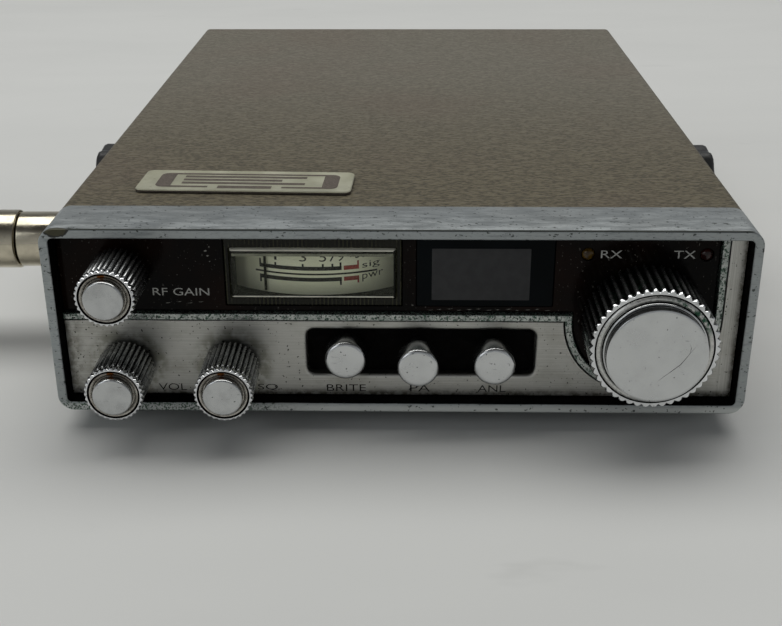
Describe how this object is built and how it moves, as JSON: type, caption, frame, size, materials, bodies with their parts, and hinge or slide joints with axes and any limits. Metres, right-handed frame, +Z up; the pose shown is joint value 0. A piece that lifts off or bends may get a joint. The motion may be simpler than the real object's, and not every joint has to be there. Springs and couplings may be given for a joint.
{
  "type": "mobile transceiver",
  "caption": "Compact dashboard two-way radio with a metal bezel, meter, display window, rotary knobs, push buttons, side thumbscrews and a microphone plug.",
  "frame": {"origin": "centre of the bottom cover's underside", "axes": "-Y towards the controls, +X to the right of a person facing them, +Z up"},
  "size_m": [0.232, 0.2621, 0.0523],
  "materials": {
    "bezel_metal": "satin anodised, speckled with wear",
    "satin_plate": "brushed satin plate with stains",
    "bright_trim": "polished rib with spots of corrosion",
    "chrome": "bright plated, dark in the flutes",
    "black_plastic": "black moulding",
    "smoked_window": "glossy black acrylic with dust",
    "meter_lens": "clear moulded lens",
    "dial_card": "olive cream printed card",
    "display_glass": "dark blue black filter",
    "display_grey": "plain grey display block",
    "amber_led": "unlit amber lamp",
    "red_led": "unlit red lamp",
    "vinyl": "taupe vinyl-clad steel with leather grain",
    "black_steel": "satin black paint",
    "plated_steel": "zinc plated sheet",
    "control_can": "pressed steel can",
    "rubber": "matt black rubber",
    "nickel": "warm nickel plate",
    "circuit_board": "lacquered board",
    "speaker_paper": "felted paper cone",
    "cast_aluminium": "extruded fins",
    "shaft_metal": "turned shaft",
    "pointer_paint": "thin black pointer",
    "badge_plate": "cream and olive printed foil badge"
  },
  "bodies": {
    "radio_body": {"front_bezel": "bezel_metal", "escutcheon": "satin_plate", "window_trim": "bright_trim", "window": "smoked_window", "front_carrier": "black_plastic", "meter_case": "black_plastic", "meter_lens": "meter_lens", "meter_dial": "dial_card", "meter_movement": "plated_steel", "display_glass": "display_glass", "display_module": "display_grey", "rx_led": "amber_led", "tx_led": "red_led", "push_switch_bank": "control_can", "rf_gain_control": "control_can", "volume_control": "control_can", "squelch_control": "control_can", "channel_switch": "control_can", "top_cover": "vinyl", "bottom_cover": "black_steel", "front_chassis_plate": "plated_steel", "left_rail": "plated_steel", "right_rail": "plated_steel", "main_board": "circuit_board", "speaker_frame": "plated_steel", "speaker_cone": "speaker_paper", "left_bracket_washer": "rubber", "right_bracket_washer": "rubber", "mic_socket": "nickel", "rear_panel": "plated_steel", "antenna_socket": "nickel", "power_inlet": "black_plastic", "speaker_jack": "nickel", "pa_jack": "nickel", "heat_sink": "cast_aluminium", "front_left_foot": "rubber", "rear_left_foot": "rubber", "front_right_foot": "rubber", "rear_right_foot": "rubber", "badge": "badge_plate"},
    "volume": {"volume_knob": "chrome", "volume_knob_cap": "chrome", "volume_shaft": "shaft_metal"},
    "squelch": {"squelch_knob": "chrome", "squelch_knob_cap": "chrome", "squelch_shaft": "shaft_metal"},
    "rf_gain": {"rf_gain_knob": "chrome", "rf_gain_knob_cap": "chrome", "rf_gain_shaft": "shaft_metal"},
    "channel": {"channel_knob": "chrome", "channel_knob_cap": "chrome", "channel_shaft": "shaft_metal"},
    "brightness": {"brightness_button": "chrome"},
    "pa": {"pa_button": "chrome"},
    "noise_limiter": {"noise_limiter_button": "chrome"},
    "pointer": {"meter_pointer": "pointer_paint"},
    "left_thumbscrew": {"left_bracket_knob": "black_plastic"},
    "right_thumbscrew": {"right_bracket_knob": "black_plastic"},
    "mic_plug": {"mic_plug_shell": "nickel"},
    "mic_ring": {"mic_plug_ring": "nickel"}
  },
  "joints": [
    {"name": "volume_turn", "type": "hinge", "parent": "radio_body", "child": "volume", "pos_m": [-0.0656, -0.124, 0.0106], "axis": [0, 1, 0], "range_deg": [0, 300]},
    {"name": "squelch_turn", "type": "hinge", "parent": "radio_body", "child": "squelch", "pos_m": [-0.0403, -0.124, 0.0107], "axis": [0, 1, 0], "range_deg": [0, 300]},
    {"name": "rf_gain_turn", "type": "hinge", "parent": "radio_body", "child": "rf_gain", "pos_m": [-0.0653, -0.124, 0.0346], "axis": [0, 1, 0], "range_deg": [-300, 0]},
    {"name": "channel_turn", "type": "hinge", "parent": "radio_body", "child": "channel", "pos_m": [0.0574, -0.124, 0.0226], "axis": [0, 1, 0], "continuous": true},
    {"name": "brightness_press", "type": "slide", "parent": "radio_body", "child": "brightness", "axis": [0, 1, 0], "range_m": [-0.0038, 0.0005], "stiffness_N_per_m": 200},
    {"name": "pa_press", "type": "slide", "parent": "radio_body", "child": "pa", "axis": [0, 1, 0], "range_m": [0, 0.0043], "stiffness_N_per_m": 200},
    {"name": "noise_limiter_press", "type": "slide", "parent": "radio_body", "child": "noise_limiter", "axis": [0, 1, 0], "range_m": [0, 0.0032], "stiffness_N_per_m": 200},
    {"name": "pointer_swing", "type": "hinge", "parent": "radio_body", "child": "pointer", "pos_m": [-0.02025, -0.0782, 0.034], "axis": [0, 0, 1], "range_deg": [0, 40], "stiffness_Nm_per_rad": 0.00001},
    {"name": "left_thumbscrew_turn", "type": "hinge", "parent": "radio_body", "child": "left_thumbscrew", "pos_m": [-0.088, -0.017, 0.0233], "axis": [1, 0, 0], "continuous": true},
    {"name": "right_thumbscrew_turn", "type": "hinge", "parent": "radio_body", "child": "right_thumbscrew", "pos_m": [0.088, -0.017, 0.0233], "axis": [1, 0, 0], "continuous": true},
    {"name": "mic_plug_pull", "type": "slide", "parent": "radio_body", "child": "mic_plug", "axis": [-1, 0, 0], "range_m": [0, 0.014]},
    {"name": "mic_ring_turn", "type": "hinge", "parent": "mic_plug", "child": "mic_ring", "pos_m": [-0.095, -0.0643, 0.0233], "axis": [1, 0, 0], "continuous": true}
  ]
}
